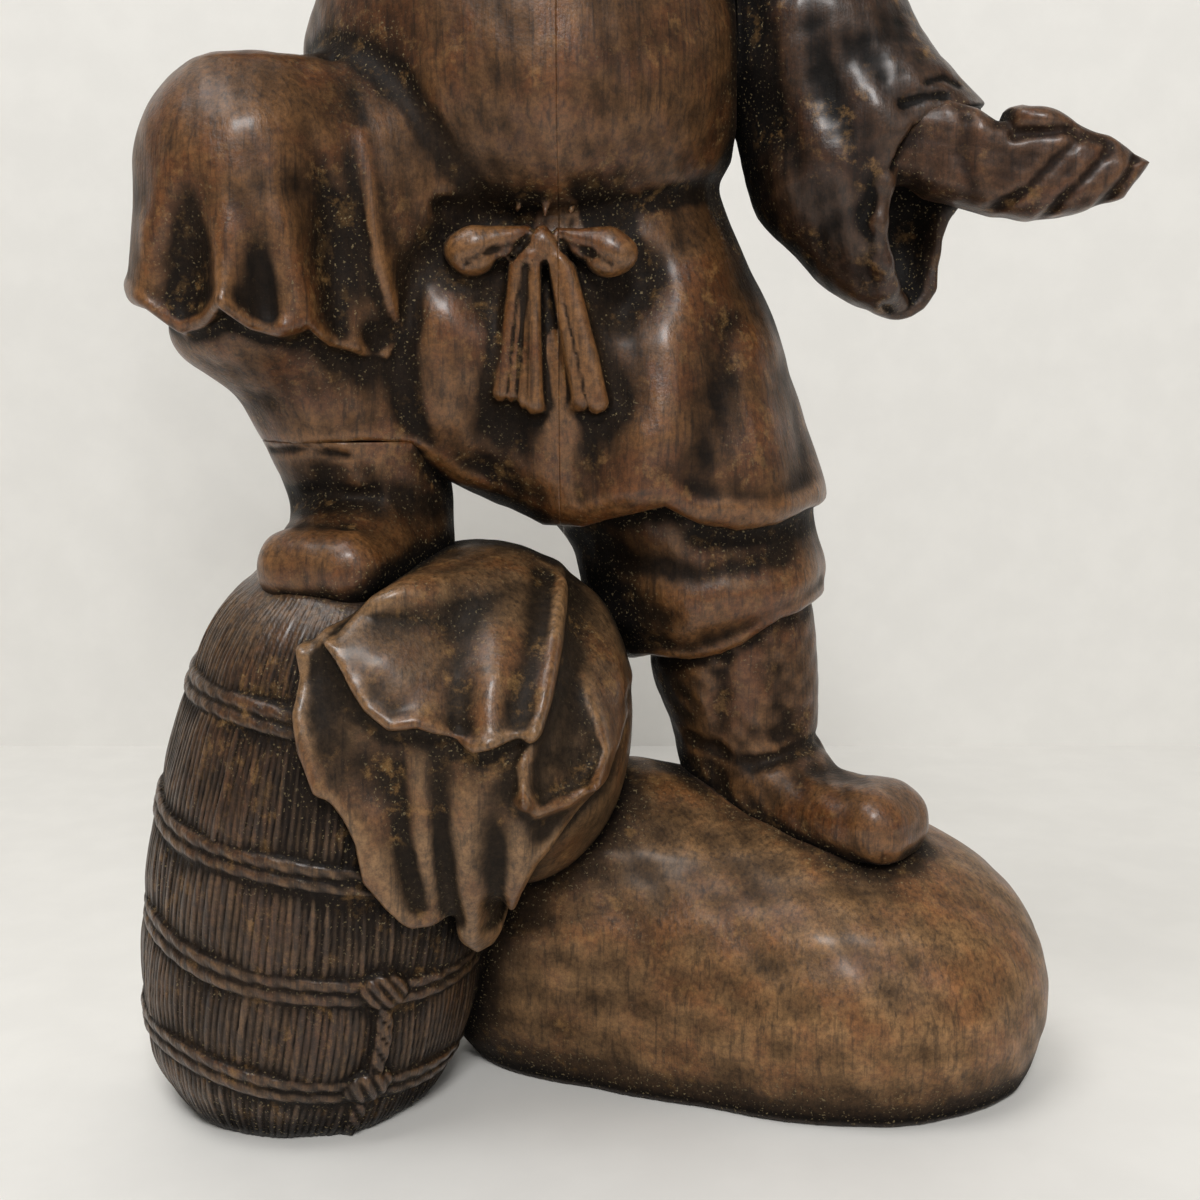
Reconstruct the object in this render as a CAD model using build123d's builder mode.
"""A carved wooden figurine of a robed man, built up from glued and pegged blocks.

The man stands with one foot on a rope-bound straw bale and the other on a full sack whose
open mouth is draped over the bale.  One arm reaches out with an open palm; the other is
raised and grips a mallet that draws out of the fist.

Millimetres.  +Z is up, the figure faces -Y, and "right" and "left" are the figure's own.
The origin is on the floor, at the centre of the whole carving's bounding box.
"""
import os
from math import radians, tan

from build123d import *

# ---------------------------------------------------------------- driving dimensions
BELOW_FLOOR = -12.0          # shapes start below the floor and are then cut flat at z = 0
GLUE_GAP = 0.1               # clearance around a peg or tenon, filled with glue
PEG_RADIUS = 4.0             # round hardwood pegs between the blocks
PEG_END_GAP = 1.0            # air left at each end of a peg's blind hole
TENON_RADIUS = 8.0           # round tenon that ends a hand or the neck
TENON_LENGTH = 22.0

SEAM_X = -10.0               # upright glue seam between the two body halves
COLLAR_Z = 446.0             # glue face between body and head
RIGHT_SHIN_SEAM_Z = 220.0    # glue face across the raised leg's shin
SOLE_Z = 79.0                # the standing foot's sole, let into the sack

BALE_FOOT_X, BALE_FOOT_Y = -102.0, -48.0   # where the bale's axis meets the floor
BALE_LEAN_X = tan(radians(9.2))            # the bale leans towards the sack
BALE_LEAN_Y = tan(radians(-3.0))           # and slightly forwards
BALE_HEIGHT = 177.0
BALE_TOP_RADIUS = 36.0
ROPE_RADIUS = 2.4            # each rope band is two strands lying side by side
STRAND_OFFSET = 2.1
BALE_AT_ROPES = ((55, 26), (57.5, 61), (58, 98), (52, 142))   # bale radius, height along its axis

HANDLE_RADIUS = 4.5          # the mallet's handle runs in the fist with a sliding fit
HANDLE_CLEARANCE = 0.08
HANDLE_TAIL, HANDLE_REACH = 26.0, 84.0     # handle below and above the fist's centre
MALLET_RADIUS = 19.0
MALLET_LENGTH = 52.0
MALLET_RISE = 60.0           # from the fist's centre up to the mallet head's centre

# ---------------------------------------------------------------- planes and axes
floor_up = Plane.XY
bale_frame = Plane(origin=(BALE_FOOT_X, BALE_FOOT_Y, 0), x_dir=(1, 0, -BALE_LEAN_X),
                   z_dir=(BALE_LEAN_X, BALE_LEAN_Y, 1))
bale_section = Plane(origin=bale_frame.origin, x_dir=bale_frame.x_dir, z_dir=-bale_frame.y_dir)
bale_axis = Axis(bale_frame.origin, bale_frame.z_dir)
bale_top = bale_frame.offset(BALE_HEIGHT)
left_shin_seam = Plane(origin=(54, -8, 154), z_dir=(-0.35, 0.15, 1))
right_arm_seam = Plane(origin=(-84, 0, 0), z_dir=(-1, 0, 0))
left_arm_seam = Plane(origin=(48, 0, 0), z_dir=(1, 0, 0))
mallet_frame = Plane(origin=(-136, -27, 513), x_dir=(0.83, 0, 0.1), z_dir=(-0.1, 0.55, 0.83))
wrist_frame = Plane(origin=(123, -25, 312), z_dir=(0.88, -0.2, -0.47))
fist_frame = Plane(origin=(-136, -14, 496), z_dir=(0, -0.3, 1))
neck_frame = Plane(origin=(-17, 3, COLLAR_Z))


# ---------------------------------------------------------------- shared shapes
def lump(centre, radii):
    """Adds an ellipsoid to the part being built."""
    ball = Sphere(radii[2], mode=Mode.PRIVATE)
    stretch = (radii[0] / radii[2], radii[1] / radii[2], 1)
    add(Pos(*centre) * scale(ball, by=stretch, mode=Mode.PRIVATE))


def stack(*levels):
    """Adds a body lofted through level ellipses: height, centre x, centre y, half width, half depth."""
    sections = []
    for height, x, y, half_width, half_depth in levels:
        with BuildSketch(Plane.XY.offset(height)) as level:
            with Locations((x, y)):
                Ellipse(half_width, half_depth)
        sections.append(level.sketch)
    loft(sections=sections)


def limb(*stations):
    """Adds a limb lofted through circles along a bent centre line: x, y, z, radius."""
    centres = [Vector(*station[:3]) for station in stations]
    sections = []
    for i, station in enumerate(stations):
        ahead = centres[min(i + 1, len(centres) - 1)] - centres[max(i - 1, 0)]
        with BuildSketch(Plane(origin=centres[i], z_dir=ahead)) as ring:
            Circle(station[3])
        sections.append(ring.sketch)
    loft(sections=sections)


def rod(start, end, radius, mode=Mode.ADD):
    """Adds or cuts a round rod between two points."""
    span = Vector(*end) - Vector(*start)
    with BuildSketch(Plane(origin=start, z_dir=span)) as disc:
        Circle(radius)
    extrude(disc.sketch, amount=span.length, mode=mode)


def pegs(ends):
    """Adds one peg for each pair of end points."""
    for start, end in ends:
        rod(start, end, PEG_RADIUS)


def peg_holes(ends):
    """Cuts the blind hole that each peg of a set sits in."""
    for start, end in ends:
        reach = (Vector(*end) - Vector(*start)).normalized() * PEG_END_GAP
        rod(tuple(Vector(*start) - reach), tuple(Vector(*end) + reach), PEG_RADIUS + GLUE_GAP,
            mode=Mode.SUBTRACT)


def tenon(frame):
    """Adds the round tenon that runs back from a frame's origin."""
    rod(tuple(frame.origin), tuple(frame.origin - frame.z_dir * TENON_LENGTH), TENON_RADIUS)


def mortise(frame):
    """Cuts the blind hole that takes the tenon of the same frame."""
    depth = TENON_LENGTH + PEG_END_GAP
    rod(tuple(frame.origin + frame.z_dir), tuple(frame.origin - frame.z_dir * depth),
        TENON_RADIUS + GLUE_GAP, mode=Mode.SUBTRACT)


def keep_side(plane):
    """Cuts the part being built at a plane and keeps the side that its normal points to."""
    split(bisect_by=plane, keep=Keep.TOP)


def across(x, y, z, half_length):
    """The two ends of a peg that lies along X."""
    return (x - half_length, y, z), (x + half_length, y, z)


# ---------------------------------------------------------------- where the pegs sit
body_peg_ends = (across(SEAM_X, 8, 300, 22), across(SEAM_X, 8, 360, 22), across(SEAM_X, 8, 408, 18))
right_arm_peg_ends = (across(-84, 2, 396, 14), across(-84, 2, 418, 14))
left_arm_peg_ends = (across(48, 0, 352, 14), across(48, 0, 396, 14))
base_peg_ends = (across(-42, -38, 32, 22), across(-36, -38, 64, 22))
mouth_peg_ends = (((-58, -72, 112), (-36, -100, 112)),)
foot_peg_ends = (((-79, -58, 152), (-77, -56, 192)), ((70, -26, 58), (70, -26, 98)))
shin_peg_ends = (((-80, -38, 205), (-86, -43, 236)), ((56, -6, 138), (54, -6, 170)))

# ---------------------------------------------------------------- base: bale, sack, sack mouth
with BuildPart() as straw_bale:
    with BuildSketch(bale_section) as half_section:
        with BuildLine():
            flank = Spline((33, BELOW_FLOOR), *BALE_AT_ROPES, (45, 163), (BALE_TOP_RADIUS, BALE_HEIGHT))
            Polyline(flank @ 1, (0, BALE_HEIGHT), (0, BELOW_FLOOR), flank @ 0)
        make_face()
        for radius, height in BALE_AT_ROPES:
            with Locations((radius, height - STRAND_OFFSET), (radius, height + STRAND_OFFSET)):
                Circle(ROPE_RADIUS)
    revolve(half_section.sketch, axis=bale_axis)
    bale_shape = straw_bale.part
    keep_side(floor_up)
    peg_holes((*base_peg_ends, *mouth_peg_ends, *foot_peg_ends))

with BuildPart() as right_lower_leg:
    limb((-74, -36, 172, 25), (-75, -35, 192, 24), (-76, -37, 206, 24), (-79, -41, 224, 25))
    lump((-73, -44, 186), (24, 30, 18))
    lump((-83, -70, 184), (23, 25, 16))
    keep_side(bale_top)
    keep_side(Plane(origin=(0, 0, RIGHT_SHIN_SEAM_Z), z_dir=(0, 0, -1)))
    peg_holes((*foot_peg_ends, *shin_peg_ends))

with BuildPart() as left_lower_leg:
    limb((60, -8, 76, 23), (59, -8, 96, 22), (57, -7, 120, 22), (55, -6, 142, 25), (54, -6, 162, 27))
    lump((64, -16, 90), (23, 24, 16))
    lump((80, -34, 91), (24, 25, 14))
    lump((92, -50, 90), (17, 18, 13))
    keep_side(Plane.XY.offset(SOLE_Z))
    keep_side(Plane(origin=left_shin_seam.origin, z_dir=-left_shin_seam.z_dir))
    peg_holes((*foot_peg_ends, *shin_peg_ends))

with BuildPart() as cargo_sack:
    lump((94, -24, 26), (68, 68, 60))
    lump((58, -20, 26), (64, 58, 64))
    lump((16, -16, 34), (60, 47, 70))
    lump((-22, -26, 46), (44, 36, 52))
    keep_side(floor_up)
    add(bale_shape, mode=Mode.SUBTRACT)
    add(left_lower_leg.part, mode=Mode.SUBTRACT)
    sack_shape = cargo_sack.part
    peg_holes((*base_peg_ends, *foot_peg_ends))

with BuildPart() as sack_mouth:
    lump((-34, -50, 116), (50, 67, 60))
    lump((-60, -70, 140), (33, 43, 36))
    limb((-54, -78, 125, 34), (-49, -88, 98, 25), (-42, -100, 72, 14), (-37, -106, 58, 8))
    add(bale_shape, mode=Mode.SUBTRACT)
    add(sack_shape, mode=Mode.SUBTRACT)
    add(right_lower_leg.part, mode=Mode.SUBTRACT)
    peg_holes(mouth_peg_ends)

# ---------------------------------------------------------------- the robed body, then its two halves
with BuildPart() as body_block:
    stack((282, -22, -6, 50, 48), (292, -22, -4, 66, 64), (315, -22, -2, 73, 73), (345, -23, 0, 74, 75),
          (380, -21, 3, 71, 66), (410, -19, 5, 67, 52), (434, -18, 6, 52, 38), (COLLAR_Z, -17, 5, 32, 30))
    stack((190, 28, -6, 54, 50), (204, 19, -6, 64, 57), (225, 9, -6, 68, 59), (250, 1, -5, 67, 60),
          (280, -8, -4, 67, 62), (306, -14, -2, 60, 60))
    limb((-104, -62, 303, 33), (-72, -34, 304, 37), (-36, -4, 300, 40))
    stack((250, -104, -68, 30, 30), (270, -106, -68, 33, 34), (303, -107, -68, 31, 34))
    lump((-107, -68, 303), (31, 34, 36))
    lump((-100, -58, 252), (29, 28, 18))
    limb((-77, -40, 214, 25), (-83, -45, 232, 25), (-93, -54, 252, 25))
    limb((4, 0, 232, 44), (38, -4, 190, 43), (52, -6, 162, 36), (55, -6, 140, 30))
    lump((-37, -66, 277), (11, 8, 9))
    lump((5, -66, 276), (11, 8, 9))
    limb((-14, -66, 280, 5), (-18, -68, 256, 7), (-19, -68, 232, 8))
    limb((-8, -66, 280, 5), (-1, -68, 254, 6), (0, -68, 230, 7))
    with Locations((right_arm_seam.origin.X, 0, 372)):
        Box(40, 200, 100, align=(Align.MAX, Align.CENTER, Align.MIN), mode=Mode.SUBTRACT)
    with Locations((left_arm_seam.origin.X, 0, 285)):
        Box(40, 200, 170, align=(Align.MIN, Align.CENTER, Align.MIN), mode=Mode.SUBTRACT)
    with Locations((-90, -45, RIGHT_SHIN_SEAM_Z)):
        Box(80, 80, 40, align=(Align.CENTER, Align.CENTER, Align.MAX), mode=Mode.SUBTRACT)
    with Locations(left_shin_seam):
        Box(120, 120, 60, align=(Align.CENTER, Align.CENTER, Align.MAX), mode=Mode.SUBTRACT)
    mortise(neck_frame)
    peg_holes((*body_peg_ends, *right_arm_peg_ends, *left_arm_peg_ends, *shin_peg_ends))

with BuildPart() as body_right_half:
    add(body_block.part)
    keep_side(Plane(origin=(SEAM_X, 0, 0), z_dir=(-1, 0, 0)))

with BuildPart() as body_left_half:
    add(body_block.part)
    keep_side(Plane(origin=(SEAM_X, 0, 0), z_dir=(1, 0, 0)))

# ---------------------------------------------------------------- arms, hands and head
with BuildPart() as left_sleeve:
    limb((30, 3, 412, 30), (56, 1, 390, 33), (80, -6, 352, 29), (102, -18, 326, 23), (130, -27, 308, 17))
    limb((80, -8, 340, 31), (90, -12, 306, 30), (100, -14, 281, 18), (107, -15, 266, 7))
    keep_side(left_arm_seam)
    keep_side(Plane(origin=wrist_frame.origin, z_dir=-wrist_frame.z_dir))
    mortise(wrist_frame)
    peg_holes(left_arm_peg_ends)

with BuildPart() as left_hand:
    limb((112, -23, 318, 12), (128, -27, 312, 13), (144, -31, 307, 15), (160, -34, 304, 13),
         (172, -35, 306, 9), (180, -35, 310, 5))
    limb((130, -22, 316, 7), (135, -16, 322, 6), (141, -14, 327, 4))
    keep_side(wrist_frame)
    tenon(wrist_frame)

with BuildPart() as right_sleeve:
    limb((-64, 4, 408, 30), (-90, 1, 412, 31), (-120, -2, 428, 29), (-135, -6, 458, 24),
         (-136, -13, 494, 19), (-136, -16, 504, 18))
    limb((-122, -2, 430, 24), (-146, -1, 420, 18), (-164, 0, 408, 9))
    keep_side(right_arm_seam)
    keep_side(Plane(origin=fist_frame.origin, z_dir=-fist_frame.z_dir))
    mortise(fist_frame)
    peg_holes(right_arm_peg_ends)

with BuildPart() as right_hand:
    limb((-136, -11, 486, 13), (-136, -16, 500, 14), (-136, -22, 512, 16), (-136, -26, 522, 13))
    lump((-137, -29, 514), (16, 13, 15))
    keep_side(fist_frame)
    tenon(fist_frame)
    bore_start = mallet_frame.origin - mallet_frame.z_dir * 40
    bore_end = mallet_frame.origin + mallet_frame.z_dir * 40
    rod(tuple(bore_start), tuple(bore_end), HANDLE_RADIUS + HANDLE_CLEARANCE, mode=Mode.SUBTRACT)

with BuildPart() as mallet_handle:
    with BuildSketch(mallet_frame.offset(-HANDLE_TAIL)) as handle_end:
        Circle(HANDLE_RADIUS)
    extrude(handle_end.sketch, amount=HANDLE_TAIL + HANDLE_REACH)

with BuildPart() as mallet_head:
    with BuildSketch(mallet_frame.offset(MALLET_RISE)) as barrel_half:
        with BuildLine():
            ThreePointArc((-MALLET_LENGTH / 2, MALLET_RADIUS - 3), (0, MALLET_RADIUS),
                          (MALLET_LENGTH / 2, MALLET_RADIUS - 3))
            Polyline((MALLET_LENGTH / 2, MALLET_RADIUS - 3), (MALLET_LENGTH / 2, 0),
                     (-MALLET_LENGTH / 2, 0), (-MALLET_LENGTH / 2, MALLET_RADIUS - 3))
        make_face()
    barrel_centre = mallet_frame.origin + mallet_frame.z_dir * MALLET_RISE
    revolve(barrel_half.sketch, axis=Axis(barrel_centre, mallet_frame.x_dir))
    rod(tuple(mallet_frame.origin), tuple(mallet_frame.origin + mallet_frame.z_dir * (HANDLE_REACH + 20)),
        HANDLE_RADIUS + GLUE_GAP, mode=Mode.SUBTRACT)

with BuildPart() as head:
    limb((-17, 3, 440, 25), (-17, 1, 456, 24), (-18, -3, 475, 26))
    lump((-18, -8, 500), (42, 44, 50))
    lump((-62, -2, 496), (6, 9, 17))
    lump((26, -2, 496), (6, 9, 17))
    stack((524, -18, -5, 43, 45), (536, -18, -3, 50, 51), (556, -18, -1, 53, 53), (574, -18, 1, 44, 44),
          (584, -18, 2, 26, 26))
    keep_side(neck_frame)
    tenon(neck_frame)

# ---------------------------------------------------------------- pegs
with BuildPart() as bale_sack_pegs:
    pegs(base_peg_ends)

with BuildPart() as sack_mouth_peg:
    pegs(mouth_peg_ends)

with BuildPart() as foot_pegs:
    pegs(foot_peg_ends)

with BuildPart() as shin_pegs:
    pegs(shin_peg_ends)

with BuildPart() as body_pegs:
    pegs(body_peg_ends)

with BuildPart() as right_arm_pegs:
    pegs(right_arm_peg_ends)

with BuildPart() as left_arm_pegs:
    pegs(left_arm_peg_ends)

# ---------------------------------------------------------------- hand-over
pieces = {
    "straw_bale": straw_bale, "cargo_sack": cargo_sack, "sack_mouth": sack_mouth,
    "bale_sack_pegs": bale_sack_pegs, "sack_mouth_peg": sack_mouth_peg,
    "right_lower_leg": right_lower_leg, "left_lower_leg": left_lower_leg,
    "foot_pegs": foot_pegs, "shin_pegs": shin_pegs,
    "body_right_half": body_right_half, "body_left_half": body_left_half, "body_pegs": body_pegs,
    "left_sleeve": left_sleeve, "left_arm_pegs": left_arm_pegs, "left_hand": left_hand,
    "right_sleeve": right_sleeve, "right_arm_pegs": right_arm_pegs, "right_hand": right_hand,
    "mallet_handle": mallet_handle, "mallet_head": mallet_head, "head": head,
}
whole = Compound([piece.part for piece in pieces.values()]).bounding_box()
centring = Pos(-whole.center().X, -whole.center().Y, 0)
os.makedirs("parts", exist_ok=True)
for name, piece in pieces.items():
    placed = centring * piece.part
    placed.label = name
    export_step(placed, f"parts/{name}.step")
